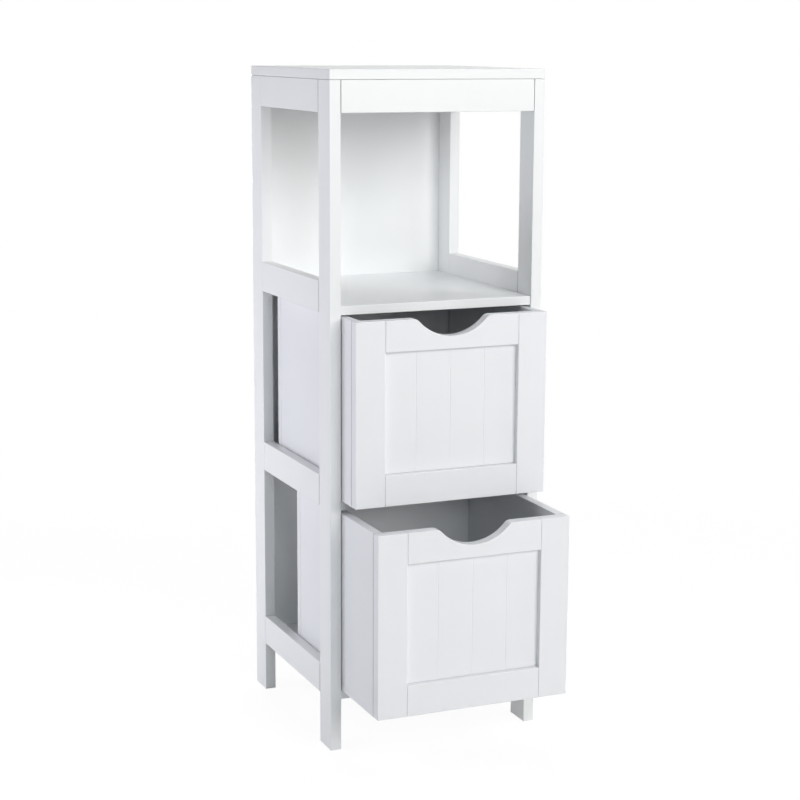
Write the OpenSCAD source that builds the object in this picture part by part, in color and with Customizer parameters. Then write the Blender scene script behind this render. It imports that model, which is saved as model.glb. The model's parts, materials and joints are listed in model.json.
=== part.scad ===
// Bathroom storage tower: four posts joined by side rails carry a top board, an open
// shelf and two drawers that slide on boards. Millimetres, +Z up, front towards -Y.
// The origin lies on the floor, in the middle of the four posts.

/* [Overall] */
// Width over the posts
tower_w = 300; // [240:1:420]
// Depth over the posts
tower_d = 300; // [250:1:420]
// Height from the floor to the top face
tower_h = 888.5; // [780:0.5:1100]

/* [Frame] */
// Thickness of the posts and the side rails
post_t = 15; // [14:0.5:20]
// Width of each post, seen from the side
post_w = 40; // [36:1:60]
// Height of each side rail and of the front top rail
rail_h = 41; // [36:1:60]
// Thickness of the front top rail
front_rail_t = 15; // [12:0.5:18]
// Floor to the lowest rails and the bottom board
leg_h = 69; // [30:1:120]
// Floor to the underside of the middle rails and the drawer divider
middle_rail_z = 325.5; // [280:0.5:380]
// Floor to the underside of the shelf rails and the open shelf
shelf_rail_z = 580.5; // [520:0.5:640]

/* [Boards] */
// Thickness of the top board
top_t = 13; // [12:0.5:20]
// Thickness of the shelf, the divider and the bottom board
board_t = 12; // [12:0.5:18]
// How far the front edges of the boards lie behind the posts
board_setback = 2; // [0:0.5:6]
// Thickness of the back panel
back_t = 3; // [3:0.5:6]
// Gap round the back panel
back_gap = 0.3; // [0.1:0.1:1]

/* [Drawers] */
// How far the upper drawer stands out
upper_drawer_out = 48; // [0:1:200]
// How far the lower drawer stands out
lower_drawer_out = 122; // [0:1:200]
// Gap between a drawer's side and the posts
drawer_side_gap = 1; // [0.5:0.1:3]
// Running gap between a drawer and the board that it slides on
drawer_lift = 0.3; // [0.1:0.1:1]
// Gap above the upper drawer
upper_drawer_gap = 2.2; // [1:0.1:10]
// Gap above the lower drawer
lower_drawer_gap = 3.7; // [1:0.1:10]
// Thickness of a drawer's sides and back
drawer_wall = 12; // [12:0.5:16]
// Thickness of a drawer's base
base_t = 3; // [3:0.5:5]
// Lower edge of a drawer to the underside of its base
base_lift = 10; // [6:0.5:16]
// Depth of the groove that holds the base
base_groove = 2.5; // [2:0.1:2.8]
// Thickness of the pads behind a drawer
bumper_t = 5.5; // [2:0.5:10]
// Diameter of the pads behind a drawer
bumper_d = 12; // [8:1:16]
// Side of a drawer to the middle of its pads
bumper_inset = 40; // [20:1:60]
// Gap left between the pads and the back panel when a drawer is shut
bumper_gap = 0.5; // [0.3:0.1:1]

/* [Drawer fronts] */
// Thickness of a drawer front's frame
front_t = 15; // [15:0.5:20]
// Width of the upright pieces
front_stile_w = 40.5; // [30:0.5:55]
// Height of the cross pieces
front_rail_h = 41; // [36:1:60]
// How far the panel lies behind the frame
panel_recess = 8; // [4:0.5:8]
// Thickness of the panel
panel_t = 4; // [3:0.5:4]
// Length of the tongues that join the frame
tongue_l = 8; // [4:0.5:8]
// Gap round a tongue or a panel in its groove
groove_gap = 0.1; // [0.05:0.05:0.3]
// Distance between the upright grooves of the panel
plank_pitch = 48; // [30:1:54]
// Depth of the upright grooves of the panel
plank_groove = 0.6; // [0.4:0.1:1.8]
// Radius of the hand notch
notch_r = 64; // [52:1:90]
// Depth of the hand notch
notch_depth = 24; // [14:1:26]
// Radius of the notch's upper corners
notch_corner_r = 10; // [3:1:14]

/* [Dowels] */
// Diameter of the dowels
dowel_d = 6; // [5:0.5:8]
// Length of the dowels
dowel_l = 24; // [20:1:28]
// Depth of a dowel in the thinner of the two pieces
dowel_shallow = 8; // [6:0.5:10]
// Gap round a dowel
dowel_fit = 0.05; // [0.02:0.01:0.1]
// Room left at each end of a dowel
dowel_end_room = 1; // [0.5:0.1:1.5]
// Distance between the two dowels of a rail end
dowel_spread = 20; // [14:1:26]
// Distance between the dowels along a board's end
board_dowel_spread = 100; // [60:1:150]

/* [Cam fittings] */
// Edge of the tower to the middle of a cam bolt or a top dowel
fitting_inset = 16; // [15:1:20]
// Distance between the cam bolts along a top rail
top_bolt_spread = 130; // [80:1:160]
// Board's end to the middle of the cam
cam_reach = 24; // [20:1:26]
// Diameter of the cam
cam_d = 12; // [10:0.5:15]
// How far the cam reaches past the axis of its bolt
cam_cover = 3.5; // [3.4:0.1:4.5]
// Gap round the cam
cam_gap = 0.1; // [0.05:0.05:0.3]
// Diameter of the cam bolt's thread
bolt_thread_d = 5; // [4:0.5:6]
// Length of the cam bolt's thread
bolt_thread_l = 9; // [7:0.5:10]
// Diameter of the cam bolt's shank
bolt_shank_d = 4; // [3:0.5:4.5]
// Diameter of the cam bolt's head
bolt_head_d = 6; // [5:0.5:6.5]
// Length of the cam bolt's head
bolt_head_l = 3; // [2:0.5:4]
// Diameter of the hole that the cam bolt passes through
bolt_hole_d = 7; // [7:0.5:8]

/* [Screws] */
// Diameter of the screws of the back panel
back_screw_d = 3; // [2.5:0.5:3.5]
// Length of the screws of the back panel
back_screw_l = 16; // [12:1:25]
// Board's end to the outer screws of the back panel
back_screw_inset = 35; // [34:1:60]
// Diameter of the screws of a drawer's back
drawer_screw_d = 3.5; // [3:0.5:4]
// Length of the screws of a drawer's back
drawer_screw_l = 30; // [25:1:40]
// Gap round a screw
screw_gap = 0.05; // [0.02:0.01:0.1]
// Width of the slots of a cross recess
recess_w = 1; // [0.6:0.1:1.2]
// Depth of a cross recess
recess_depth = 1.2; // [0.8:0.1:1.5]
// Edge of a drawer's side to the middle of its outer dowels and screws
joint_margin = 30; // [22:1:50]

/* [Hidden] */

$fn = 48;
cut = 1;                                    // how far a cut runs past an open face
LEFT = -1;
RIGHT = 1;
FRONT = -1;
BACK = 1;
SIDES = [LEFT, RIGHT];
ENDS = [FRONT, BACK];

half_w = tower_w / 2;
half_d = tower_d / 2;
inner_x = half_w - post_t;                  // inner faces of the posts and side rails
rail_end_y = half_d - post_w;               // where the side rails meet the posts
top_z = tower_h - top_t;                    // underside of the top board
top_rail_z = top_z - rail_h;
BOARD_Z = [leg_h, middle_rail_z, shelf_rail_z];
RAIL_Z = [leg_h, middle_rail_z, shelf_rail_z, top_rail_z];
board_back_y = half_d - back_t;
fitting_y = half_d - fitting_inset;          // middle of the corner fittings

drawer_w = 2 * (inner_x - drawer_side_gap);
drawer_d = tower_d - back_t - bumper_t - bumper_gap;
upper_drawer_z = middle_rail_z + board_t + drawer_lift;
lower_drawer_z = leg_h + board_t + drawer_lift;
upper_drawer_h = shelf_rail_z - upper_drawer_gap - upper_drawer_z;
lower_drawer_h = middle_rail_z - lower_drawer_gap - lower_drawer_z;
drawer_half = drawer_w / 2;
frame_half = drawer_half - front_stile_w;   // half the width between the front's uprights
groove_x = frame_half + tongue_l;            // bottom of the grooves in the front's uprights
side_joint_x = drawer_half - drawer_wall / 2;
drawer_back_y = drawer_d - drawer_wall;     // inner face of the drawer's back

paint = "#f3f3f1";
timber = "#d9bb8a";
metal = "#b9bcc0";
pad = "#c9c6bd";

// A block between two corners, given in any order.
module block(a, b) {
    low = [for (i = [0:2]) min(a[i], b[i])];
    high = [for (i = [0:2]) max(a[i], b[i])];
    translate(low) cube(high - low);
}

// ---------------------------------------------------------------- fasteners

// A dowel along +X: its joint face is at x = 0 and it reaches "shallow" behind it.
module dowel(shallow = dowel_shallow) {
    translate([-shallow, 0, 0]) rotate([0, 90, 0]) cylinder(d = dowel_d, h = dowel_l);
}

// The bore for a dowel, on both sides of the joint face.
module dowel_bore(shallow = dowel_shallow) {
    translate([-shallow - dowel_end_room, 0, 0]) rotate([0, 90, 0])
        cylinder(d = dowel_d + 2 * dowel_fit, h = dowel_l + 2 * dowel_end_room);
}

// A cross recess cut into a head that faces -X.
module cross_recess(width) {
    for (turn = [0, 90]) rotate([turn, 0, 0])
        block([-cut, -width / 2, -recess_w / 2], [recess_depth, width / 2, recess_w / 2]);
}

// The head of a countersunk screw: twice as wide as its shank, with sides at 45 degrees.
function head_d(d) = 2 * d;
function head_l(d) = (head_d(d) - d) / 2;

// A countersunk screw along +X, with its flat head at x = 0.
module screw(d, length) {
    difference() {
        union() {
            rotate([0, 90, 0]) cylinder(d1 = head_d(d), d2 = d, h = head_l(d));
            rotate([0, 90, 0]) cylinder(d = d, h = length);
        }
        cross_recess(d);
    }
}

// The countersunk bore for that screw.
module screw_bore(d, length) {
    room = 2 * screw_gap;
    rotate([0, 90, 0]) cylinder(d1 = head_d(d) + room, d2 = d + room, h = head_l(d));
    rotate([0, 90, 0]) cylinder(d = d + room, h = length + dowel_end_room);
    translate([-cut, 0, 0]) rotate([0, 90, 0]) cylinder(d = head_d(d) + room, h = cut);
}

// A cam bolt along +X: its thread lies behind the joint face, its head in the cam.
module cam_bolt() {
    translate([-bolt_thread_l, 0, 0]) rotate([0, 90, 0])
        cylinder(d = bolt_thread_d, h = bolt_thread_l);
    rotate([0, 90, 0]) cylinder(d = bolt_shank_d, h = cam_reach);
    translate([cam_reach - bolt_head_l / 2, 0, 0]) rotate([0, 90, 0])
        cylinder(d = bolt_head_d, h = bolt_head_l);
}

// The hole for the bolt's thread, behind the joint face.
module cam_bolt_thread_bore() {
    translate([-bolt_thread_l - dowel_end_room, 0, 0]) rotate([0, 90, 0])
        cylinder(d = bolt_thread_d + 2 * screw_gap, h = bolt_thread_l + dowel_end_room);
}

// A cam: a drum whose flat face lies "face" below the bolt's axis.
module cam_lock(face) {
    room = 2 * cam_gap;
    difference() {
        translate([cam_reach, 0, -face]) cylinder(d = cam_d, h = face + cam_cover);
        translate([cam_reach - cam_d, 0, 0]) rotate([0, 90, 0])
            cylinder(d = bolt_head_d + room, h = cam_d + bolt_head_l / 2 + cam_gap);
        translate([cam_reach, 0, -face]) rotate([0, -90, 0]) cross_recess(cam_d / 2);
    }
}

// The pocket for the cam and the hole for its bolt, in front of the joint face.
module cam_lock_bore(face) {
    room = 2 * cam_gap;
    translate([cam_reach, 0, -face - cut])
        cylinder(d = cam_d + room, h = face + cam_cover + cam_gap + cut);
    translate([-cut, 0, 0]) rotate([0, 90, 0])
        cylinder(d = bolt_hole_d, h = cam_reach + cut);
}

// ------------------------------------------------- places of the fasteners

// Where a rail's end meets a post: two dowels, along +Y into the rail for a front post.
module at_rail_end(side, end, z) {
    for (dz = [-1, 1])
        translate([side * (half_w - post_t / 2), end * rail_end_y,
                   z + rail_h / 2 + dz * dowel_spread / 2])
            rotate([0, 0, -end * 90]) children();
}

// Where a board's end meets a side rail: dowels along X, away from the rail.
module at_board_dowels(side, z) {
    for (dy = [-1, 1])
        translate([side * inner_x, dy * board_dowel_spread / 2, z + board_t / 2])
            rotate([0, 0, side > 0 ? 180 : 0]) children();
}

// Where a board's corner meets a post: a cam bolt along X, away from the post.
module at_board_bolt(side, end, z) {
    translate([side * inner_x, end * fitting_y, z + board_t / 2])
        rotate([0, 0, side > 0 ? 180 : 0]) children();
}

// Where the top board sits on a post: a dowel down into the post.
module at_top_dowel(side, end) {
    translate([side * (half_w - post_t / 2), end * fitting_y, top_z])
        rotate([0, 90, 0]) children();
}

// Where the top board sits on a side rail: cam bolts down into the rail.
module at_top_bolts(side) {
    for (dy = [-1, 1])
        translate([side * (half_w - post_t / 2), dy * top_bolt_spread / 2, top_z])
            rotate([0, 90, side > 0 ? 0 : 180]) children();
}

// Where the front top rail meets a post: two dowels along X, away from the post.
module at_front_rail_end(side) {
    for (dz = [-1, 1])
        translate([side * inner_x, -half_d + front_rail_t / 2,
                   top_rail_z + rail_h / 2 + dz * dowel_spread / 2])
            rotate([0, 0, side > 0 ? 180 : 0]) children();
}

// The screws of the back panel: three along each board, pointing forwards.
module at_back_screws(z) {
    for (x = [-1, 0, 1])
        translate([x * (inner_x - back_screw_inset), half_d, z + board_t / 2])
            rotate([0, 0, -90]) children();
}

// ------------------------------------------------------------------ carcass

module post(side, end) {
    color(paint) difference() {
        block([side * inner_x, end * rail_end_y, 0], [side * half_w, end * half_d, top_z]);
        for (z = RAIL_Z) at_rail_end(side, end, z) dowel_bore(dowel_l / 2);
        for (z = BOARD_Z) at_board_bolt(side, end, z) cam_bolt_thread_bore();
        at_top_dowel(side, end) dowel_bore();
        if (end == FRONT) at_front_rail_end(side) dowel_bore();
    }
}

module side_rail(side, z) {
    color(paint) difference() {
        block([side * inner_x, -rail_end_y, z], [side * half_w, rail_end_y, z + rail_h]);
        for (end = ENDS) at_rail_end(side, end, z) dowel_bore(dowel_l / 2);
        if (z == top_rail_z) at_top_bolts(side) cam_lock_bore(post_t / 2);
        else at_board_dowels(side, z) dowel_bore();
    }
}

module front_top_rail() {
    color(paint) difference() {
        block([-inner_x, -half_d, top_rail_z], [inner_x, -half_d + front_rail_t, top_z]);
        for (side = SIDES) at_front_rail_end(side) dowel_bore();
    }
}

module top_board() {
    color(paint) difference() {
        block([-half_w, -half_d, top_z], [half_w, half_d, tower_h]);
        for (side = SIDES) {
            for (end = ENDS) at_top_dowel(side, end) dowel_bore();
            at_top_bolts(side) cam_bolt_thread_bore();
        }
    }
}

module board(z) {
    color(paint) difference() {
        block([-inner_x, -half_d + board_setback, z], [inner_x, board_back_y, z + board_t]);
        for (side = SIDES) {
            at_board_dowels(side, z) dowel_bore();
            for (end = ENDS) at_board_bolt(side, end, z) cam_lock_bore(board_t / 2);
        }
        at_back_screws(z) screw_bore(back_screw_d, back_screw_l);
    }
}

module back_panel() {
    edge_x = inner_x - back_gap;
    color(paint) difference() {
        block([-edge_x, board_back_y, leg_h], [edge_x, half_d, top_z - back_gap]);
        for (z = BOARD_Z) at_back_screws(z) screw_bore(back_screw_d, back_screw_l);
    }
}

module rail_dowels() {
    color(timber) for (side = SIDES, end = ENDS, z = RAIL_Z)
        at_rail_end(side, end, z) dowel(dowel_l / 2);
}

module board_dowels() {
    color(timber) for (side = SIDES, z = BOARD_Z) at_board_dowels(side, z) dowel();
}

module top_dowels() {
    color(timber) for (side = SIDES, end = ENDS) at_top_dowel(side, end) dowel();
}

module front_rail_dowels() {
    color(timber) for (side = SIDES) at_front_rail_end(side) dowel();
}

module cam_bolts() {
    color(metal) for (side = SIDES) {
        for (end = ENDS, z = BOARD_Z) at_board_bolt(side, end, z) cam_bolt();
        at_top_bolts(side) cam_bolt();
    }
}

module cam_locks() {
    color(metal) for (side = SIDES) {
        for (end = ENDS, z = BOARD_Z) at_board_bolt(side, end, z) cam_lock(board_t / 2);
        at_top_bolts(side) cam_lock(post_t / 2);
    }
}

module back_panel_screws() {
    color(metal) for (z = BOARD_Z) at_back_screws(z) screw(back_screw_d, back_screw_l);
}

// ------------------------------------------------------------------ drawers
// Each drawer is drawn with its front face at y = 0 and its lower edge at z = 0.

module upper_drawer() {
    translate([0, -half_d - upper_drawer_out, upper_drawer_z]) children();
}

module lower_drawer() {
    translate([0, -half_d - lower_drawer_out, lower_drawer_z]) children();
}

// The heights of the three dowels or screws along a corner of a drawer.
function corner_z(h) = [joint_margin, h / 2, h - joint_margin];

module at_drawer_dowels(side, h) {
    for (z = corner_z(h))
        translate([side * side_joint_x, front_t, z]) rotate([0, 0, 90]) children();
}

module at_drawer_screws(side, h) {
    for (z = corner_z(h))
        translate([side * side_joint_x, drawer_d, z]) rotate([0, 0, -90]) children();
}

// The groove that holds the base, cut from the inside of all four walls.
module base_groove_cut() {
    edge_x = drawer_half - drawer_wall + base_groove;
    block([-edge_x, front_t - base_groove, base_lift],
          [edge_x, drawer_back_y + base_groove, base_lift + base_t + groove_gap]);
}

// The groove for the panel and the rails' tongues, cut round the front's frame.
module panel_groove_cut(x0, x1, z0, z1) {
    block([x0, panel_recess - groove_gap, z0], [x1, panel_recess + panel_t + groove_gap, z1]);
}

module front_stile(side, h) {
    color(paint) difference() {
        block([side * frame_half, 0, 0], [side * drawer_half, front_t, h]);
        panel_groove_cut(side * (frame_half - cut), side * groove_x, -cut, h + cut);
        base_groove_cut();
        at_drawer_dowels(side, h) dowel_bore();
    }
}

// A cross piece of the front's frame between two heights, with a tongue at each end.
module rail_with_tongues(z0, z1) {
    tip = groove_x - groove_gap;
    block([-frame_half, 0, z0], [frame_half, front_t, z1]);
    block([-tip, panel_recess, z0], [tip, panel_recess + panel_t, z1]);
}

module front_bottom_rail() {
    color(paint) difference() {
        rail_with_tongues(0, front_rail_h);
        panel_groove_cut(-groove_x, groove_x, front_rail_h - tongue_l, front_rail_h + cut);
        base_groove_cut();
    }
}

// The hand notch, from the front: a shallow arc whose upper corners are rounded off.
module notch_outline() {
    rise = notch_r - notch_depth;           // centre of the arc above the rail's edge
    reach = notch_r + notch_corner_r;
    corner_x = sqrt(pow(reach, 2) - pow(rise + notch_corner_r, 2));
    touch = notch_r / reach;                // where the arc meets a corner's circle
    touch_x = corner_x * touch;
    touch_z = rise - (rise + notch_corner_r) * touch;
    difference() {
        union() {
            intersection() {
                translate([0, rise]) circle(r = notch_r, $fn = 96);
                translate([-notch_r, -notch_r]) square([2 * notch_r, notch_r + cut]);
            }
            polygon([[-corner_x, cut], [corner_x, cut], [corner_x, 0], [touch_x, touch_z],
                     [-touch_x, touch_z], [-corner_x, 0]]);
        }
        for (side = SIDES)
            translate([side * corner_x, -notch_corner_r]) circle(r = notch_corner_r);
    }
}

module front_notched_rail(h) {
    color(paint) difference() {
        rail_with_tongues(h - front_rail_h, h);
        panel_groove_cut(-groove_x, groove_x, h - front_rail_h - cut,
                         h - front_rail_h + tongue_l);
        translate([0, front_t + cut, h]) rotate([90, 0, 0])
            linear_extrude(height = front_t + 2 * cut) notch_outline();
    }
}

module front_panel(h) {
    edge = tongue_l - groove_gap;
    edge_x = frame_half + edge;                 // the panel reaches into all four grooves
    color(paint) difference() {
        block([-edge_x, panel_recess, front_rail_h - edge],
              [edge_x, panel_recess + panel_t, h - front_rail_h + edge]);
        for (i = [-1, 0, 1]) translate([i * plank_pitch, panel_recess, 0])
            linear_extrude(height = h)
                polygon([[-plank_groove - cut, -cut], [plank_groove + cut, -cut], [0, plank_groove]]);
    }
}

module drawer_side(side, h) {
    color(paint) difference() {
        block([side * (drawer_half - drawer_wall), front_t, 0],
              [side * drawer_half, drawer_back_y, h]);
        base_groove_cut();
        at_drawer_dowels(side, h) dowel_bore();
        at_drawer_screws(side, h) screw_bore(drawer_screw_d, drawer_screw_l);
    }
}

module drawer_back(h) {
    color(paint) difference() {
        block([-drawer_half, drawer_back_y, 0], [drawer_half, drawer_d, h]);
        base_groove_cut();
        for (side = SIDES) at_drawer_screws(side, h) screw_bore(drawer_screw_d, drawer_screw_l);
    }
}

module drawer_base() {
    edge_x = drawer_half - drawer_wall + base_groove - groove_gap;
    color(paint) block([-edge_x, front_t - base_groove + groove_gap, base_lift],
                       [edge_x, drawer_back_y + base_groove - groove_gap, base_lift + base_t]);
}

module drawer_dowels(h) {
    color(timber) for (side = SIDES) at_drawer_dowels(side, h) dowel();
}

module drawer_screws(h) {
    color(metal) for (side = SIDES) at_drawer_screws(side, h) screw(drawer_screw_d, drawer_screw_l);
}

module drawer_bumpers(h) {
    color(pad) for (side = SIDES)
        translate([side * (drawer_half - bumper_inset), drawer_d, h - bumper_inset])
            rotate([-90, 0, 0]) cylinder(d = bumper_d, h = bumper_t);
}

// -------------------------------------------------------------------- nodes

top_board();
front_top_rail();
post(LEFT, FRONT);  // front_left_post
post(RIGHT, FRONT);  // front_right_post
post(LEFT, BACK);  // back_left_post
post(RIGHT, BACK);  // back_right_post
side_rail(LEFT, leg_h);  // left_bottom_rail
side_rail(LEFT, middle_rail_z);  // left_middle_rail
side_rail(LEFT, shelf_rail_z);  // left_shelf_rail
side_rail(LEFT, top_rail_z);  // left_top_rail
side_rail(RIGHT, leg_h);  // right_bottom_rail
side_rail(RIGHT, middle_rail_z);  // right_middle_rail
side_rail(RIGHT, shelf_rail_z);  // right_shelf_rail
side_rail(RIGHT, top_rail_z);  // right_top_rail
board(shelf_rail_z);  // open_shelf
board(middle_rail_z);  // drawer_divider
board(leg_h);  // bottom_board
back_panel();
rail_dowels();
board_dowels();
top_dowels();
front_rail_dowels();
cam_bolts();
cam_locks();
back_panel_screws();
upper_drawer() front_stile(LEFT, upper_drawer_h);  // upper_drawer_left_stile
upper_drawer() front_stile(RIGHT, upper_drawer_h);  // upper_drawer_right_stile
upper_drawer() front_notched_rail(upper_drawer_h);  // upper_drawer_top_rail
upper_drawer() front_bottom_rail();  // upper_drawer_bottom_rail
upper_drawer() front_panel(upper_drawer_h);  // upper_drawer_panel
upper_drawer() drawer_side(LEFT, upper_drawer_h);  // upper_drawer_left_side
upper_drawer() drawer_side(RIGHT, upper_drawer_h);  // upper_drawer_right_side
upper_drawer() drawer_back(upper_drawer_h);  // upper_drawer_back
upper_drawer() drawer_base();  // upper_drawer_base
upper_drawer() drawer_dowels(upper_drawer_h);  // upper_drawer_dowels
upper_drawer() drawer_screws(upper_drawer_h);  // upper_drawer_screws
upper_drawer() drawer_bumpers(upper_drawer_h);  // upper_drawer_bumpers
lower_drawer() front_stile(LEFT, lower_drawer_h);  // lower_drawer_left_stile
lower_drawer() front_stile(RIGHT, lower_drawer_h);  // lower_drawer_right_stile
lower_drawer() front_notched_rail(lower_drawer_h);  // lower_drawer_top_rail
lower_drawer() front_bottom_rail();  // lower_drawer_bottom_rail
lower_drawer() front_panel(lower_drawer_h);  // lower_drawer_panel
lower_drawer() drawer_side(LEFT, lower_drawer_h);  // lower_drawer_left_side
lower_drawer() drawer_side(RIGHT, lower_drawer_h);  // lower_drawer_right_side
lower_drawer() drawer_back(lower_drawer_h);  // lower_drawer_back
lower_drawer() drawer_base();  // lower_drawer_base
lower_drawer() drawer_dowels(lower_drawer_h);  // lower_drawer_dowels
lower_drawer() drawer_screws(lower_drawer_h);  // lower_drawer_screws
lower_drawer() drawer_bumpers(lower_drawer_h);  // lower_drawer_bumpers
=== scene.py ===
"""Bathroom storage tower in satin white paint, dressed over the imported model.

Metres, +Z up, the drawers open towards -Y. Every new piece is a set of grids of points worked out
with numpy; its object sits at the origin and its place is in its mesh.
"""
import collections
import json
import math

import bpy
import numpy as np
from mathutils import Matrix, Vector


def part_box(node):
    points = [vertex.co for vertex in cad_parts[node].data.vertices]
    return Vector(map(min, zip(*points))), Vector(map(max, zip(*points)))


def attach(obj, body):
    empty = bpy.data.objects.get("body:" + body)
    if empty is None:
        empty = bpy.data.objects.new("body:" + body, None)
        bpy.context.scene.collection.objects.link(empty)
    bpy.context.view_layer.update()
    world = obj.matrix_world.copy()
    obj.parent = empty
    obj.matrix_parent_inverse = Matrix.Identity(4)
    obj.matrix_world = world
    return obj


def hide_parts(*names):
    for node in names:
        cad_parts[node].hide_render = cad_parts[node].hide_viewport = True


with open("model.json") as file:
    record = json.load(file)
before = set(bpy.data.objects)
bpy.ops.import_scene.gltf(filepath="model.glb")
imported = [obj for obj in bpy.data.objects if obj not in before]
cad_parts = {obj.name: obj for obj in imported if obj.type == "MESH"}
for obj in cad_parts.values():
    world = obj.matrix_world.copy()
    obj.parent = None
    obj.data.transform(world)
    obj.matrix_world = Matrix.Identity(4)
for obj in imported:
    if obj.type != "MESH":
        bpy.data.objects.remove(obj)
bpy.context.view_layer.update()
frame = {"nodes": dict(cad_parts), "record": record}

RECORD = frame["record"]
SLOT_OF = {part["node"]: part["material_slot"] for part in RECORD["subparts"]}
BODY_OF = {node: body for body, nodes in RECORD["behaviour"]["bodies"].items() for node in nodes}
MM = 0.001

# ------------------------------------------------------------------ sizes of the finish
BOARD_EDGE = 0.8 * MM          # eased edge of posts, rails and boards
FRONT_EDGE = 1.0 * MM          # eased edge of the drawer fronts' frames
THIN_EDGE = 0.4 * MM           # eased edge of the back panel and of the drawers' bases
EDGE_STEPS = 5                 # facets across an eased edge
HOLE_STEPS = 16                # facets across half of a round hole
FRONT_SEAM = 0.15 * MM         # how far a front's cross pieces stand back from its uprights
RAW_END_AND_SHADE_FADE = 0.5 * MM           # how far from a butted end the bare board and its painted joint shade fade out
WELD = 1e-7                    # points nearer than this are one point

NOTCH_RADIUS = 64 * MM
NOTCH_DEPTH = 24 * MM
NOTCH_CORNER = 10 * MM         # radius of the notch's rounded corners
NOTCH_STEPS = 60               # facets along the notch's arc
CORNER_STEPS = 12              # facets round each of its corners
PLANK_PITCH = 48 * MM          # from one V groove of the panel to the next
GROOVE_DEPTH = 0.5 * MM
GROOVE_HALF = 0.9 * MM         # half the width of a V groove
GROOVE_SOFT = 0.3              # share of that half over which its lips and root are rounded
GROOVE_STEPS = 20              # facets across a V groove
PANEL_LIP = 2 * MM             # how far the panel reaches behind the frame at its sides and top
PANEL_EDGE = 0.6 * MM          # eased edge of the panel, seen where it stands on the frame
PANEL_STAND = 0.05 * MM        # how far the panel's lower end goes into the frame

HEAD_DROP = 0.15 * MM          # how far a screw's head or a cam lies below the surface
POCKET_GAP = 0.12 * MM         # gap round a screw's head or a cam
POCKET_LIP = 0.15 * MM         # eased rim of a pocket
CAM_POCKET = 9.6 * MM          # depth of a cam's pocket
CAM_FIT = 0.02 * MM            # how much smaller than its CAD solid a cam is drawn, all round
TOOTH_HALF = 0.3               # half the width of a screw thread's tooth, in pitches


# ------------------------------------------------------------------ grids of points
QUARTER = np.linspace(0, math.pi / 2, EDGE_STEPS + 1)      # the turn of an eased edge


def grid_quads(rows, columns, closed):
    """Corner numbers of the quads between neighbouring rows and columns, joined round if closed."""
    row = np.arange(rows - 1)[:, None] * columns
    column = np.arange(columns if closed else columns - 1)[None, :]
    after = (column + 1) % columns
    corners = [row + column, row + after, row + columns + after, row + columns + column]
    return np.stack(corners, -1).reshape(-1, 4)


def ring_normals(points):
    """Unit normals of a grid joined round: the cross product of its differences both ways."""
    along = np.gradient(points, axis=0)
    across = np.roll(points, -1, axis=1) - np.roll(points, 1, axis=1)
    normals = np.cross(across, along)
    return normals / np.maximum(np.linalg.norm(normals, axis=-1, keepdims=True), 1e-12)


def make_piece(name, grids):
    """One closed mesh from grids of (points, normals, closed).

    Points that coincide are welded, a quad that loses a corner becomes a triangle, each face is
    wound to look along its normals, and the grids' own normals give the shading.
    """
    points, normals, quads, start = [], [], [], 0
    for grid, normal, closed in grids:
        rows, columns = grid.shape[:2]
        points.append(grid.reshape(-1, 3))
        normals.append(np.broadcast_to(normal, grid.shape).reshape(-1, 3))
        quads.append(grid_quads(rows, columns, closed) + start)
        start += rows * columns
    points, normals, quads = (np.concatenate(part) for part in (points, normals, quads))

    key = np.round(points / WELD).astype(np.int64)
    _, first, same = np.unique(key, axis=0, return_index=True, return_inverse=True)
    same = same.reshape(-1)
    facing = np.cross(points[quads[:, 2]] - points[quads[:, 0]],
                      points[quads[:, 3]] - points[quads[:, 1]])
    inward = (facing * normals[quads].sum(1)).sum(1) < 0
    quads[inward] = quads[inward][:, ::-1]

    met = same[quads]
    equal = met == np.roll(met, -1, axis=1)
    lost = equal.sum(1)
    folded = (met[:, 0] == met[:, 2]) | (met[:, 1] == met[:, 3])
    whole = quads[(lost == 0) & ~folded]
    clipped = quads[lost == 1][~equal[lost == 1]].reshape(-1, 3)

    mesh = bpy.data.meshes.new(name)
    mesh.from_pydata(points[first], [], same[whole].tolist() + same[clipped].tolist())
    mesh.polygons.foreach_set("use_smooth", np.ones(len(mesh.polygons), bool))
    mesh.normals_split_custom_set(
        np.concatenate([normals[whole].reshape(-1, 3), normals[clipped].reshape(-1, 3)]))
    mesh.update()
    return add_object(name, mesh)


def add_object(name, data):
    """A new object with this mesh, camera or lamp, linked to the scene."""
    made = bpy.data.objects.new(name, data)
    bpy.context.scene.collection.objects.link(made)
    return made


def dress(node, grids, raw_and_shade=()):
    """A piece made of these grids, which stands for a CAD node on its body and in its finish.

    The last argument lists the planes (axis, level) of its butted ends, drawn as bare board
    darkened further as painted shade for the joint lines: the end attribute is 1 - distance / the
    end fade there, and never below 0.
    """
    piece = make_piece("visual_" + node, grids)
    if raw_and_shade:
        points = point_array(piece.data)
        away = np.min([np.abs(points[:, axis] - level) for axis, level in raw_and_shade], axis=0)
        share = piece.data.attributes.new("raw_end_and_shade", "FLOAT", "POINT")
        share.data.foreach_set("value", np.clip(1 - away / RAW_END_AND_SHADE_FADE, 0, 1))
    piece.data.materials.append(finish_of(node))
    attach(piece, BODY_OF[node])
    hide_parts(node)


def point_array(mesh):
    """A mesh's points as an array with a row for each."""
    points = np.empty(3 * len(mesh.vertices))
    mesh.vertices.foreach_get("co", points)
    return points.reshape(-1, 3)


# ------------------------------------------------------------------ boards
# A board is worked out in its own plane: a and b run along its face, c through its thickness.
PLANES = ((1, 2, 0), (0, 2, 1), (0, 1, 2))   # the axes of a, b and c, by the thickness's axis


def plane_of(low, high):
    """The axes of a, b and c for a board between two corners, which is thinnest along c."""
    return list(PLANES[int(np.argmin(high - low))])


def join_abc(flat, depth):
    """Points (a, b, c) from points in the board's plane and a depth for each."""
    return np.concatenate([flat, np.broadcast_to(depth, flat.shape[:-1])[..., None]], -1)


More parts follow.
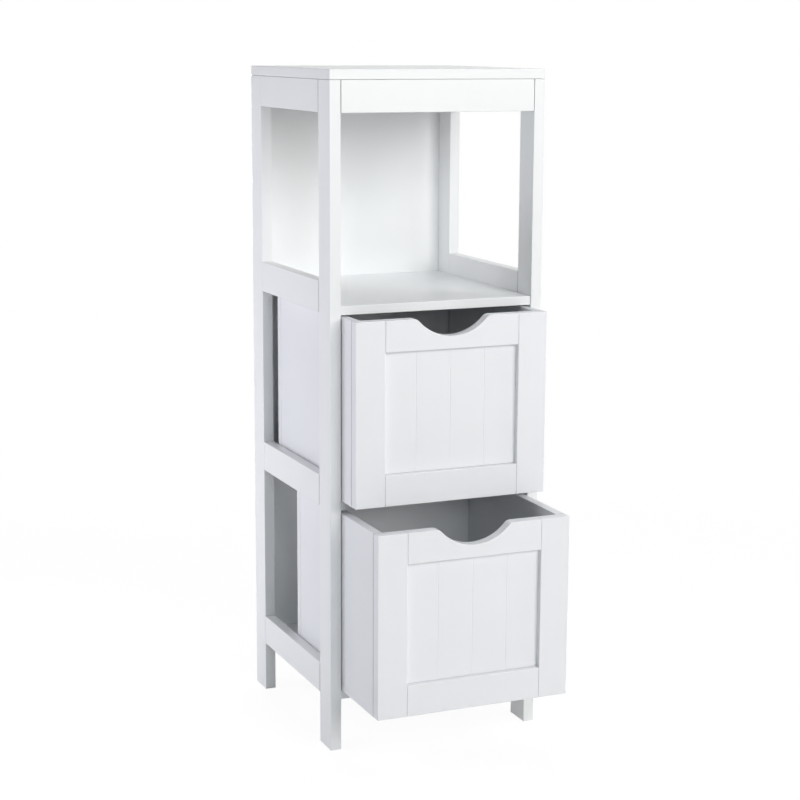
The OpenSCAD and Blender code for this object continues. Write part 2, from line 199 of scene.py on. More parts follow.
def rectangle_runs(a0, a1, b0, b1, edge, stops=()):
    """The upper and lower runs of a rectangle's outline, from left to right, set in by the edge.

    Each run turns a quarter circle of normals at both ends: (-cos t, sin t), then (sin t, cos t).
    """
    stops = np.asarray(sorted(stops), float)
    a = np.concatenate([np.full(QUARTER.size, a0 + edge), stops,
                        np.full(QUARTER.size, a1 - edge)])
    left = np.stack([-np.cos(QUARTER), np.sin(QUARTER)], -1)
    flat = np.tile([0.0, 1.0], (stops.size, 1))
    right = np.stack([np.sin(QUARTER), np.cos(QUARTER)], -1)
    normals = np.concatenate([left, flat, right])
    upper = (np.stack([a, np.full(a.size, b1 - edge)], -1), normals)
    lower = (np.stack([a, np.full(a.size, b0 + edge)], -1), normals * [1, -1])
    return upper, lower


def rim_grid(upper, lower, c0, c1, edge):
    """The wall round an outline: inner point + edge * (cos t * normal, sin t), t from -90 to 90."""
    inner = np.concatenate([upper[0], lower[0][::-1]])[None]
    outward = np.concatenate([upper[1], lower[1][::-1]])[None]
    turn = np.concatenate([QUARTER - math.pi / 2, QUARTER])[:, None]
    base = np.repeat([c0 + edge, c1 - edge], QUARTER.size)[:, None]
    points = join_abc(inner + edge * np.cos(turn)[..., None] * outward, base + edge * np.sin(turn))
    normals = join_abc(np.cos(turn)[..., None] * outward, np.sin(turn) * np.ones(outward.shape[1]))
    return points, normals, True


def face_grids(upper, lower, c, sign, rows=()):
    """The flat face between two runs, with rows of round holes left open.

    The face is a stack of strips. A row of holes at height b parts two strips, whose edges leave
    the line by sqrt(radius^2 - (a - centre)^2) inside each hole.
    """
    a = lower[0][:, 0]
    edges = [lower[0]]
    for b, centres, profile in rows:
        radius = profile[0][0]
        reach = np.zeros(a.size)
        for centre in centres:
            reach = np.maximum(reach, np.sqrt(np.maximum(radius**2 - (a - centre)**2, 0)))
        edges += [np.stack([a, b - reach], -1), np.stack([a, b + reach], -1)]
    edges.append(upper[0])
    up = np.array([0, 0, sign], float)
    return [(join_abc(np.stack(pair), c), up, False) for pair in zip(edges[::2], edges[1::2])]


def pocket_grids(b, centre, profile, c, sign, stops):
    """A round pocket: rings of (radius, depth) below the face, closed at its middle.

    A wall that runs by (dr, dd) looks along (-dd, dr) in (radius, depth).
    """
    radius = profile[0][0]
    inside = stops[np.abs(stops - centre) < radius + WELD]
    over = np.arccos(np.clip((inside - centre) / radius, -1, 1))
    angle = np.concatenate([over, -over[::-1][1:-1]])
    circle = np.stack([np.cos(angle), np.sin(angle)], -1)
    grids = []
    for (r0, d0), (r1, d1) in zip(profile[:-1], profile[1:]):
        points = np.stack([join_abc([centre, b] + r * circle, c - sign * d)
                           for r, d in ((r0, d0), (r1, d1))])
        out, deep = np.array([d0 - d1, r1 - r0]) / math.hypot(r1 - r0, d1 - d0)
        grids.append((points, join_abc(out * circle, -sign * deep)[None], True))
    return grids


def board_grids(low, high, edge, pockets=()):
    """A board between two corners, with eased edges and rows of round pockets.

    pockets holds (side of the board, b, centres along a, profile), side 1 or -1 along c.
    """
    order = plane_of(low, high)
    (a0, b0, c0), (a1, b1, c1) = low[order], high[order]
    half_turn = np.linspace(0, math.pi, HOLE_STEPS + 1)
    stops = {round(centre + profile[0][0] * math.cos(t), 9)
             for _, _, centres, profile in pockets for centre in centres for t in half_turn}
    upper, lower = rectangle_runs(a0, a1, b0, b1, edge, stops)
    grids = [rim_grid(upper, lower, c0, c1, edge)]
    for side, c in ((-1, c0), (1, c1)):
        rows = sorted(pocket[1:] for pocket in pockets if pocket[0] == side)
        grids += face_grids(upper, lower, c, side, rows)
        for b, centres, profile in rows:
            for centre in centres:
                grids += pocket_grids(b, centre, profile, c, side, np.array(sorted(stops)))
    return in_xyz(grids, order)


def in_xyz(grids, order):
    """Grids in board coordinates (a, b, c), set back into (x, y, z)."""
    back = np.argsort(order)
    return [(points[..., back], normals[..., back], closed) for points, normals, closed in grids]


def notched_rail_grids(low, high, edge):
    """The upper cross piece of a drawer front, whose top edge dips in a hand notch.

    The edge turns down round a corner circle and runs along the notch circle, which it touches:
    corner centre (+-x0, -rc), notch centre (0, R - depth), x0^2 + (R - depth + rc)^2 = (R + rc)^2.
    """
    (x0, y0, z0), (x1, y1, z1) = low, high
    rise = NOTCH_RADIUS - NOTCH_DEPTH
    reach = NOTCH_RADIUS + NOTCH_CORNER
    corner_x = math.sqrt(reach**2 - (rise + NOTCH_CORNER)**2)
    swing = math.asin(corner_x / reach)
    corner = np.linspace(0, swing, CORNER_STEPS + 1)
    bowl = np.linspace(-swing, swing, NOTCH_STEPS + 1)[1:-1]
    left = np.stack([np.sin(corner), np.cos(corner)], -1)
    middle = np.stack([-np.sin(bowl), np.cos(bowl)], -1)
    right = left[::-1] * [-1, 1]
    dip = np.concatenate([
        [-corner_x, z1 - NOTCH_CORNER] + NOTCH_CORNER * left,
        [0, z1 + rise] - NOTCH_RADIUS * middle,
        [corner_x, z1 - NOTCH_CORNER] + NOTCH_CORNER * right])
    dip_normals = np.concatenate([left, middle, right])
    inner = dip - edge * dip_normals
    upper, lower = rectangle_runs(x0, x1, z0, z1, edge, inner[:, 0])
    shape_run(upper, inner, dip_normals)
    return in_xyz(solid_grids(upper, lower, y0, y1, edge), PLANES[1])


def shape_run(run, inner, normals):
    """Bend a straight run of an outline: these points take the place of those at its stops."""
    stops = slice(QUARTER.size, QUARTER.size + len(inner))
    run[0][stops], run[1][stops] = inner, normals


def solid_grids(upper, lower, c0, c1, edge):
    """The wall and both plain faces of an outline's solid."""
    return [rim_grid(upper, lower, c0, c1, edge)] + \
        face_grids(upper, lower, c0, -1) + face_grids(upper, lower, c1, 1)


def tent(u):
    """A tent one high and two wide: max(0, 1 - |u|)."""
    return np.maximum(0, 1 - np.abs(u))


def tent_area(u):
    """The area under the tent, from its left foot up to u."""
    u = np.clip(u, -1, 1)
    return np.where(u < 0, (1 + u)**2 / 2, 1 - (1 - u)**2 / 2)


def grooved_panel_grids(low, high, edge):
    """A panel whose front has three upright V grooves.

    A groove is a tent averaged over a window of +-h, (A(u + h) - A(u - h)) / 2h, which rounds its
    lips and its root; its slope is (tent(u + h) - tent(u - h)) / 2h.
    """
    soft, steepness = GROOVE_SOFT, GROOVE_DEPTH / GROOVE_HALF
    u = np.linspace(-1 - soft, 1 + soft, GROOVE_STEPS + 1)
    depth = GROOVE_DEPTH * (tent_area(u + soft) - tent_area(u - soft)) / (2 * soft)
    slope = steepness * (tent(u + soft) - tent(u - soft)) / (2 * soft)
    normal = np.stack([slope, -np.ones(u.size)], -1)
    normal /= np.linalg.norm(normal, axis=-1, keepdims=True)
    (x0, y0, z0), (x1, y1, z1) = low, high
    places = np.array([-1, 0, 1]) * PLANK_PITCH
    face = np.stack([(places[:, None] + GROOVE_HALF * u).ravel(), y0 + np.tile(depth, 3)], -1)
    face_normals = np.tile(normal, (3, 1))
    inner = face - edge * face_normals
    upper, lower = rectangle_runs(x0, x1, y0, y1, edge, inner[:, 0])
    shape_run(lower, inner, face_normals)
    return solid_grids(upper, lower, z0, z1, edge)


# ------------------------------------------------------------------ turned fittings
Fitting = collections.namedtuple("Fitting", "place out length radius")


def islands(node):
    """The points of each separate solid of a CAD node, found by joining the ends of its edges."""
    mesh = frame["nodes"][node].data
    points = point_array(mesh)
    edges = np.empty(2 * len(mesh.edges), np.int32)
    mesh.edges.foreach_get("vertices", edges)
    _, same = np.unique(np.round(points / (10 * WELD)).astype(np.int64), axis=0,
                        return_inverse=True)
    same = same.reshape(-1)
    ends = same[edges.reshape(-1, 2)]
    label = np.arange(same.max() + 1)
    while True:
        lowest, before = label[ends].min(1), label.copy()
        np.minimum.at(label, ends[:, 0], lowest)
        np.minimum.at(label, ends[:, 1], lowest)
        if (label == before).all():
            return [points[label[same] == number] for number in np.unique(label)]


def fittings(node, flat=False):
    """Each turned fitting of a CAD node: the middle of its outer end, the way out, length, radius.

    Its axis is the longest side of its box, or the shortest if flat. The outer end looks back,
    down or towards the middle of the tower.
    """
    found = []
    for points in islands(node):
        low, high = points.min(0), points.max(0)
        middle, size = (low + high) / 2, high - low
        axis = int(np.argmin(size) if flat else np.argmax(size))
        out = np.zeros(3)
        out[axis] = (-np.sign(middle[0]), 1, -1)[axis]
        found.append(Fitting(middle + out * size[axis] / 2, out, size[axis],
                             np.delete(size, axis).max() / 2))
    return found


def round_grids(fitting, bands):
    """A closed solid round a fitting's axis: place + r * (cos t * u + sin t * v) - h * out.

    Each band holds radii r and depths h below the outer end, over rows and columns. It runs from
    the outer pole towards the inner one, is smooth in itself and meets the next at a crease.
    """
    u = np.roll(fitting.out, 1)
    v = np.cross(fitting.out, u)
    grids = []
    for radii, depths in bands:
        radii, depths = np.broadcast_arrays(radii, depths)
        angle = np.arange(radii.shape[1]) * 2 * math.pi / radii.shape[1]
        around = np.cos(angle)[:, None] * u + np.sin(angle)[:, None] * v
        points = fitting.place + radii[..., None] * around - depths[..., None] * fitting.out
        normals = -ring_normals(points)
        for pole, beside in ((0, 1), (-1, -2)):
            if radii[pole].max() < WELD:
                mean = normals[beside].mean(0)
                normals[pole] = mean / np.linalg.norm(mean)
        grids.append((points, normals, True))
    return grids


def turned_band(rows, columns):
    """A band of plain rings from rows of (radius, depth)."""
    rows = np.array(rows, float)[:, :, None]
    return rows[:, 0] * np.ones(columns), rows[:, 1] * np.ones(columns)


def quarter_round(radius, depth, size, steps=4):
    """Rows that turn from a flat end at this depth into a wall at this radius."""
    turn = np.linspace(0, math.pi / 2, steps + 1)
    return [(radius - size + size * math.sin(t), depth + size - size * math.cos(t)) for t in turn]


def cross_recess(radii, columns, arm, width, depth):
    """Depths of a cross recess: two arms with sloping flanks, f^2 (3 - 2f), that run out at
    their tips. A flank takes 0.3 of an arm's width and a tip 0.4 of its length.
    """
    angle = np.arange(columns) * 2 * math.pi / columns
    x, y = np.abs(radii * np.cos(angle)), np.abs(radii * np.sin(angle))
    flank = np.clip((width / 2 - np.minimum(x, y)) / (0.3 * width) + 0.5, 0, 1)
    tip = np.clip((arm - np.maximum(x, y)) / (0.4 * arm), 0, 1)
    return depth * flank**2 * (3 - 2 * flank) * tip


def recessed_face(radius, depth, columns, arm, width, sink, rings=22):
    """A flat round face at a depth, with a cross recess in its middle."""
    radii = np.linspace(0, radius, rings)[:, None]
    return radii * np.ones(columns), depth + cross_recess(radii, columns, arm, width, sink)


def thread_band(start, end, core, crest, pitch, columns=20, rows_per_turn=8):
    """A screw thread between two depths: a tooth that climbs one pitch in each turn.

    Its height over the core is tent((phase - 1/2) / TOOTH_HALF), with phase = h / pitch -
    t / 2 pi, and it runs out at both ends.
    """
    rows = int((end - start) / pitch * rows_per_turn) + 1
    depth = np.linspace(start, end, rows)[:, None]
    phase = (depth / pitch - np.arange(columns) / columns) % 1
    tooth = tent((phase - 0.5) / TOOTH_HALF)
    fade = np.clip(np.minimum(depth - start, end - depth) / pitch, 0, 1)
    return core + (crest - core) * tooth * fade, depth * np.ones(columns)


def screw_grids(fitting):
    """A countersunk wood screw: a flat head with a cross recess, and a threaded shank."""
    head, length, columns, shank_columns = fitting.radius - POCKET_LIP, fitting.length, 64, 20
    shank = fitting.radius / 2
    neck, core, crest, pitch, point = (share * shank for share in (0.95, 0.72, 0.98, 0.75, 2.2))
    rounding, rim_height, overlap, taper = (size * MM for size in (0.1, 0.25, 0.1, 0.3))
    rim = quarter_round(head, HEAD_DROP, rounding)
    cone = [rim[-1], (head, HEAD_DROP + rim_height),
            (shank, HEAD_DROP + rim_height + head - shank)]
    head_grids = round_grids(fitting, [
        recessed_face(rim[0][0], HEAD_DROP, columns, 0.56 * head, 0.3 * head, 0.4 * head),
        turned_band(rim, columns), turned_band(cone, columns),
        turned_band([cone[-1], (0, cone[-1][1])], columns)])
    start = cone[-1][1] - overlap
    smooth = start + 0.15 * length
    shank_grids = round_grids(fitting, [
        turned_band([(0, start), (neck, start)], shank_columns),
        turned_band([(neck, start), (neck, smooth)], shank_columns),
        turned_band([(neck, smooth), (core, smooth + taper)], shank_columns),
        thread_band(smooth + taper, length - point, core, crest, pitch),
        turned_band([(core, length - point), (0, length)], shank_columns)])
    return head_grids + shank_grids


def cam_grids(fitting):
    """A cam lock: a drum with an eased rim, a ring round its face and a cross recess."""
    radius, length, columns = fitting.radius - CAM_FIT, fitting.length, 72
    rounding, margin, arm, width, sink = (size * MM for size in (0.35, 1.3, 3, 1.1, 1.2))
    rim = quarter_round(radius, HEAD_DROP, rounding)
    flat = rim[0][0]
    inner = flat - margin
    groove = np.array([(0, 0), (0.25, 0.22), (0.55, 0.22), (0.8, 0)]) * MM
    ring = [(inner + r, HEAD_DROP + h) for r, h in groove] + [(flat, HEAD_DROP)]
    bands = [recessed_face(inner, HEAD_DROP, columns, arm, width, sink, rings=30)]
    bands += [turned_band(pair, columns) for pair in zip(ring[:-1], ring[1:])]
    bands += [turned_band(rim, columns), turned_band([rim[-1], (radius, length)], columns),
              turned_band([(radius, length), (0, length)], columns)]
    return round_grids(fitting, bands)


def bolt_grids(fitting):
    """A cam bolt: a rounded head, a thin neck, a collar and a threaded end."""
    head, length, columns = fitting.radius, fitting.length, 32
    neck, collar, core, crest, pitch = (size * MM for size in (2.0, 2.4, 1.9, 2.5, 1.6))
    rounding, head_height, head_end = (size * MM for size in (0.8, 2.4, 3.4))
    thread, collar_height, tip = (size * MM for size in (9.0, 1.2, 1.2))
    joint = length - thread
    return round_grids(fitting, [
        turned_band([(0, 0)] + quarter_round(head, 0, rounding), columns),
        turned_band([(head, rounding), (head, head_height), (neck, head_end)], columns),
        turned_band([(neck, head_end), (neck, joint - collar_height)], columns),
        turned_band([(neck, joint - collar_height), (collar, joint - collar_height)], columns),
        turned_band([(collar, joint - collar_height), (collar, joint)], columns),
        turned_band([(collar, joint), (core, joint)], columns),
        thread_band(joint, length - tip, core, crest, pitch, columns),
        turned_band([(core, length - tip), (0.6 * core, length), (0, length)], columns)])


def dowel_grids(fitting):
    """A fluted dowel with bevelled ends: r = R - f * (1 - cos(n t)) / 2 round its n flutes."""
    radius, length, flutes = fitting.radius, fitting.length, 14
    bevel, flute_depth = 1 * MM, 0.22 * MM
    columns = flutes * 4
    angle = np.arange(columns) * 2 * math.pi / columns
    fluted = radius - flute_depth * (1 - np.cos(flutes * angle)) / 2
    small = np.full(columns, radius - bevel)
    none = np.zeros(columns)
    return round_grids(fitting, [
        (np.stack([none, small]), np.zeros((2, columns))),
        (np.stack([small, fluted]), np.array([[0], [bevel]])),
        (np.stack([fluted, fluted]), np.array([[bevel], [length - bevel]])),
        (np.stack([fluted, small]), np.array([[length - bevel], [length]])),
        (np.stack([small, none]), np.full((2, columns), length))])


def pad_grids(fitting):
    """A rubber pad: a shallow dome, h = rise * (r / R)^2 deep, that rolls into its wall."""
    radius, length, columns = fitting.radius, fitting.length, 48
    rise, roll = 0.5 * MM, 1.4 * MM
    dome = [(r, rise * (r / radius)**2) for r in np.linspace(0, radius - roll, 8)]
    edge = quarter_round(radius, dome[-1][1], roll, 6)
    return round_grids(fitting, [
        turned_band(dome + edge[1:], columns),
        turned_band([edge[-1], (radius, length)], columns),
        turned_band([(radius, length), (0, length)], columns)])


# ------------------------------------------------------------------ materials
CARCASS_WHITE = (0.855, 0.865, 0.863)
DRAWER_WHITE = (0.822, 0.831, 0.847)    # the drawers were painted apart, slightly cooler
RAW_END_AND_SHADE_COLOUR = (0.16, 0.155, 0.15)        # fibreboard at unpainted butted ends, darkened as painted shade for the joint gaps
TINT_DRIFT = 0.008             # how far the paint's tint drifts, as a share
TINT_CLOUDS = 7.0              # scale of that drift
GLOSS_DRIFT = (0.95, 1.07)     # how far its roughness drifts
GLOSS_CLOUDS = 40.0            # scale of that drift
CLOUD_RANGE = (0.3, 0.7)       # where the values of a noise lie
PAINT_IOR = 1.46
BOARD_PEEL = (900.0, 0.004 * MM)        # orange peel: its scale and its height
THIN_PEEL = (700.0, 0.005 * MM)


def first_of(tree, kind):
    """The first node of a kind in a tree."""
    return next(node for node in tree.nodes if node.type == kind)


def new_material(name):
    """A new material, its node tree and its Principled shader."""
    material = bpy.data.materials.new(name)
    material.use_nodes = True
    tree = material.node_tree
    return material, tree, first_of(tree, "BSDF_PRINCIPLED")


def new_group(name, inputs, outputs):
    """A shader node group with named sockets, each a "Color" or a "Float", and its two ends."""
    group = bpy.data.node_groups.new(name, "ShaderNodeTree")
    for sockets, way in ((inputs, "INPUT"), (outputs, "OUTPUT")):
        for socket, kind in sockets:
            group.interface.new_socket(socket, in_out=way, socket_type="NodeSocket" + kind)
    return group, group.nodes.new("NodeGroupInput"), group.nodes.new("NodeGroupOutput")


def add_node(tree, kind, values=None, **settings):
    """A node with its settings, and values or links for its input sockets."""
    node = tree.nodes.new(kind)
    for key, value in settings.items():
        setattr(node, key, value)
    for key, value in (values or {}).items():
        if isinstance(value, bpy.types.NodeSocket):
            tree.links.new(value, node.inputs[key])
        else:
            node.inputs[key].default_value = value
    return node


def paint_film_group():
    """Sprayed satin paint: a drifting tint, a drifting roughness and a fine orange peel."""
    group, given, put = new_group(
        "paint_film",
        [("Colour", "Color"), ("Drift", "Float"), ("Roughness", "Float"), ("Peel Scale", "Float")],
        [("Colour", "Color"), ("Roughness", "Float"), ("Height", "Float")])
    low, high = CLOUD_RANGE
    place = add_node(group, "ShaderNodeTexCoord").outputs["Object"]
    cloud = add_node(group, "ShaderNodeTexNoise",
                     {"Vector": place, "Scale": TINT_CLOUDS, "Detail": 3.0, "Roughness": 0.55})
    lift = add_node(group, "ShaderNodeMapRange",
                    {"Value": cloud.outputs["Fac"], "From Min": low, "From Max": high,
                     "To Min": -1.0, "To Max": 1.0})
    drift = add_node(group, "ShaderNodeMath", {0: lift.outputs[0], 1: given.outputs["Drift"]},
                     operation="MULTIPLY")
    gain = add_node(group, "ShaderNodeMath", {0: drift.outputs[0], 1: 1.0}, operation="ADD")
    tint = add_node(group, "ShaderNodeVectorMath",
                    {0: given.outputs["Colour"], "Scale": gain.outputs[0]}, operation="SCALE")
    sweep = add_node(group, "ShaderNodeTexNoise",
                     {"Vector": place, "Scale": GLOSS_CLOUDS, "Detail": 2.0})
    rub = add_node(group, "ShaderNodeMapRange",
                   {"Value": sweep.outputs["Fac"], "From Min": low, "From Max": high,
                    "To Min": GLOSS_DRIFT[0], "To Max": GLOSS_DRIFT[1]})
    rough = add_node(group, "ShaderNodeMath",
                     {0: given.outputs["Roughness"], 1: rub.outputs[0]}, operation="MULTIPLY")
    peel = add_node(group, "ShaderNodeTexNoise",
                    {"Vector": place, "Scale": given.outputs["Peel Scale"], "Detail": 2.0,
                     "Roughness": 0.45})
    group.links.new(tint.outputs[0], put.inputs["Colour"])
    group.links.new(rough.outputs[0], put.inputs["Roughness"])
    group.links.new(peel.outputs["Fac"], put.inputs["Height"])
    return group


def speckle_group():
    """A fine speckle: a noise, and the colour it picks between a dark and a pale tone."""
    group, given, put = new_group(
        "speckle", [("Dark", "Color"), ("Pale", "Color"), ("Scale", "Float"), ("Detail", "Float")],
        [("Colour", "Color"), ("Value", "Float")])
    noise = add_node(group, "ShaderNodeTexNoise",
                     {"Vector": add_node(group, "ShaderNodeTexCoord").outputs["Object"],
                      "Scale": given.outputs["Scale"], "Detail": given.outputs["Detail"]})
    tone = blend(group, noise.outputs["Fac"], given.outputs["Dark"], given.outputs["Pale"])
    group.links.new(tone, put.inputs["Colour"])
    group.links.new(noise.outputs["Fac"], put.inputs["Value"])
    return group


def blend(tree, share, first, second):
    """A colour that runs from the first to the second as the share rises from 0 to 1."""
    mix = add_node(tree, "ShaderNodeMix", data_type="RGBA")
    for name, value in (("Factor", share), ("A", first), ("B", second)):
        socket = next(into for into in mix.inputs if into.name == name and into.enabled)
        if isinstance(value, bpy.types.NodeSocket):
            tree.links.new(value, socket)
        else:
            socket.default_value = value
    return next(out for out in mix.outputs if out.enabled)


PAINT_FILM = paint_film_group()
SPECKLE = speckle_group()


def painted(name, white, roughness, peel):
    """White paint, which fades to a dark bare-board colour, partly painted joint shade, at the ends
    where the piece's end attribute rises to 1.

    The film gives colour, roughness and orange peel; the shader's own gloss is fixed.
    """
    material, tree, shader = new_material(name)
    peel_scale, peel_height = peel
    film = add_node(tree, "ShaderNodeGroup",
                    {"Colour": (*white, 1), "Drift": TINT_DRIFT, "Roughness": roughness,
                     "Peel Scale": peel_scale}, node_tree=PAINT_FILM)
    bump = add_node(tree, "ShaderNodeBump",
                    {"Height": film.outputs["Height"], "Strength": 0.5, "Distance": peel_height})
    raw_and_shade = add_node(tree, "ShaderNodeAttribute", attribute_name="raw_end_and_shade")
    # near butted ends the paint turns to bare board darkened as painted joint shade
    skin = blend(tree, raw_and_shade.outputs["Fac"], film.outputs["Colour"], (*RAW_END_AND_SHADE_COLOUR, 1))
    tree.links.new(skin, shader.inputs["Base Color"])
    tree.links.new(film.outputs["Roughness"], shader.inputs["Roughness"])
    tree.links.new(bump.outputs["Normal"], shader.inputs["Normal"])
    shader.inputs["IOR"].default_value = PAINT_IOR
    return material


def speckled(name, dark, pale, scale, detail):
    """A new material coloured by the speckle, its node tree, its shader and the speckle node."""
    material, tree, shader = new_material(name)
    speckle = add_node(tree, "ShaderNodeGroup",
                       {"Dark": (*dark, 1), "Pale": (*pale, 1), "Scale": scale,
                        "Detail": detail}, node_tree=SPECKLE)
    tree.links.new(speckle.outputs["Colour"], shader.inputs["Base Color"])
    return material, tree, shader, speckle


def beech():
    """Turned beech: a fine speckle of pale and darker wood."""
    material, _, shader, _ = speckled("beech_dowel", (0.42, 0.27, 0.13), (0.72, 0.55, 0.33),
                                      900.0, 4.0)
    shader.inputs["Roughness"].default_value = 0.6
    return material


def zinc():
    """Bright zinc plate: cloudy grey with small changes of roughness."""
    material, tree, shader, speckle = speckled("zinc_plate", (0.42, 0.43, 0.45),
                                               (0.66, 0.67, 0.69), 500.0, 4.0)
    rough = add_node(tree, "ShaderNodeMapRange",
                     {"Value": speckle.outputs["Value"], "To Min": 0.22, "To Max": 0.42})
    tree.links.new(rough.outputs[0], shader.inputs["Roughness"])
    shader.inputs["Metallic"].default_value = 1.0
    return material


def soft_rubber():
    """Pale grey rubber: matt, with a finely grained skin."""
    material, tree, shader, speckle = speckled("bumper_pad", (0.45, 0.44, 0.41),
                                               (0.62, 0.61, 0.57), 700.0, 3.0)
    bump = add_node(tree, "ShaderNodeBump", {"Height": speckle.outputs["Value"], "Strength": 0.4,
                                             "Distance": 0.05 * MM})
    tree.links.new(bump.outputs["Normal"], shader.inputs["Normal"])
    shader.inputs["Roughness"].default_value = 0.7
    return material


FINISH = {                     # by slot
    "painted_board": painted("painted_board", CARCASS_WHITE, 0.295, BOARD_PEEL),
    "painted_grooved_panel": painted("painted_grooved_panel", DRAWER_WHITE, 0.3, BOARD_PEEL),
    "painted_thin_board": painted("painted_thin_board", CARCASS_WHITE, 0.3, THIN_PEEL),
    "dowel_wood": beech(),
    "zinc_fittings": zinc(),
    "bumper_rubber": soft_rubber(),
}
DRAWER_FINISH = {              # by slot, on a drawer
    "painted_board": painted("painted_drawer_board", DRAWER_WHITE, 0.3, BOARD_PEEL),
    "painted_thin_board": painted("painted_drawer_base", DRAWER_WHITE, 0.3, THIN_PEEL),
}


def finish_of(node):
    """The finish of a node's slot, or the drawers' own one on a drawer."""
    slot = SLOT_OF[node]
    own = DRAWER_FINISH if BODY_OF[node].endswith("drawer") else FINISH
    return own.get(slot, FINISH[slot])


# ------------------------------------------------------------------ pieces
LOW, HIGH = 0, 1
RAW_AND_SHADED, PAINTED = True, False
# Faces that stand back a little, which gives the thin lines of the joints: (axis, side, how far in
# mm, bare with painted joint shade or painted), by the end of the node's name. The first ending
# that fits counts.
RAIL_ENDS = ((1, LOW, 0.8, RAW_AND_SHADED), (1, HIGH, 0.5, RAW_AND_SHADED))
SHELF_RAIL_ENDS = ((1, LOW, 0.35, RAW_AND_SHADED), (1, HIGH, 0.35, RAW_AND_SHADED))
BOARD_ENDS = ((0, LOW, 0.3, RAW_AND_SHADED), (0, HIGH, 0.15, PAINTED))
BUTTED = (
    ("top_board", ((2, LOW, 0.3, PAINTED),)),
    ("front_top_rail", ((0, LOW, 0.4, RAW_AND_SHADED), (0, HIGH, 0.4, RAW_AND_SHADED))),
    ("left_middle_rail", RAIL_ENDS + ((0, HIGH, 0.5, PAINTED),)),
    ("left_bottom_rail", RAIL_ENDS + ((0, HIGH, 0.5, PAINTED),)),
    ("right_middle_rail", RAIL_ENDS + ((0, LOW, 0.5, PAINTED),)),
    ("right_bottom_rail", RAIL_ENDS + ((0, LOW, 0.5, PAINTED),)),
    ("right_shelf_rail", SHELF_RAIL_ENDS),
    ("_rail", RAIL_ENDS),
    ("_side", ((1, LOW, 0.35, RAW_AND_SHADED), (1, HIGH, 0.5, RAW_AND_SHADED))),
    ("open_shelf", BOARD_ENDS),
    ("drawer_divider", BOARD_ENDS),
    ("bottom_board", BOARD_ENDS),
)
TURNED = {                     # by the end of a node's name: how to draw its fittings, and if flat
    "dowels": (dowel_grids, False),
    "cam_bolts": (bolt_grids, False),
    "cam_locks": (cam_grids, True),
    "screws": (screw_grids, False),
    "bumpers": (pad_grids, True),
}


def corners(node):
    """Lowest and highest corner of a CAD node."""
    low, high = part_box(node)
    return np.array(low), np.array(high)


def butted_corners(node):
    """The node's corners, butted faces drawn back, and the planes of its bare ends with painted
    shade.
    """
    box, raw_and_shade = corners(node), []
    faces = next((faces for ending, faces in BUTTED if node.endswith(ending)), ())
    for axis, side, joint, is_raw_shaded in faces:
        box[side][axis] += joint * MM if side == LOW else -joint * MM
        if is_raw_shaded:
            raw_and_shade.append((axis, box[side][axis]))
    return *box, raw_and_shade


def pocket_rows(node, group, flat, profile_of):
    """Rows of round pockets in a board, for the fittings of a group whose outer ends lie in it."""
    low, high = corners(node)
    order = plane_of(low, high)
    rows = {}
    for fitting in fittings(group, flat):
        inside = fitting.place - MM * fitting.out
        if ((inside > low) & (inside < high)).all():
            a, b, _ = fitting.place[order]
            side = int(fitting.out[order[2]])
            rows.setdefault((side, round(b, 6)), (profile_of(fitting), []))[1].append(a)
    return [(side, b, sorted(centres), profile) for (side, b), (profile, centres) in rows.items()]


def cam_pocket(fitting):
    """The drilled pocket round a cam."""
    radius = fitting.radius + POCKET_GAP
    return [(radius + POCKET_LIP, 0), (radius, POCKET_LIP), (radius, CAM_POCKET), (0, CAM_POCKET)]


def countersink(fitting):
    """The cone round a screw's head."""
    radius, shank = fitting.radius, fitting.radius / 2
    floor = radius - shank + POCKET_LIP
    return [(radius + POCKET_LIP, 0), (radius, POCKET_LIP), (shank, floor), (0, floor)]


def pockets_of(node):
    """The round pockets of a board: cams, the screws of the back panel and of a drawer's back."""
    if node.endswith("_drawer_back"):
        return pocket_rows(node, node.replace("back", "screws"), False, countersink)
    if node == "back_panel":
        return pocket_rows(node, "back_panel_screws", False, countersink)
    return pocket_rows(node, "cam_locks", True, cam_pocket)


def edge_of(node):
    """The eased edge of a plain board."""
    if SLOT_OF[node] == "painted_thin_board":
        return THIN_EDGE
    return FRONT_EDGE if node.endswith("_stile") else BOARD_EDGE


DRAWERS = ("upper_drawer_", "lower_drawer_")
FITTED = ("_top_rail", "_bottom_rail", "_panel")        # what goes between a front's uprights

for node, slot in SLOT_OF.items():
    fitted = node.startswith(DRAWERS) and node.endswith(FITTED)
    if slot.startswith("painted") and not fitted:
        low, high, raw_and_shade = butted_corners(node)
        dress(node, board_grids(low, high, edge_of(node), pockets_of(node)), raw_and_shade)

for drawer in DRAWERS:
    left = corners(drawer + "left_stile")[1][0]
    right = corners(drawer + "right_stile")[0][0]
    for node, grids in ((drawer + "top_rail", notched_rail_grids),
                        (drawer + "bottom_rail", board_grids)):
        low, high = corners(node)
        low[0], high[0] = left + FRONT_SEAM, right - FRONT_SEAM
        dress(node, grids(low, high, FRONT_EDGE))
    node = drawer + "panel"
    low, high = corners(node)
    floor_z = corners(drawer + "bottom_rail")[1][2]
    roof_z = corners(drawer + "top_rail")[0][2]
    low[0], high[0] = left - PANEL_LIP, right + PANEL_LIP
    low[2], high[2] = floor_z - PANEL_STAND, roof_z + PANEL_LIP
    # the panel's lower end is drawn dark: painted shade for the line where it stands on the frame
    dress(node, grooved_panel_grids(low, high, PANEL_EDGE), [(2, low[2])])

for node in SLOT_OF:
    kind = next((kind for ending, kind in TURNED.items() if node.endswith(ending)), None)
    if kind:
        grids_of, flat = kind
        dress(node, [grid for fitting in fittings(node, flat) for grid in grids_of(fitting)])


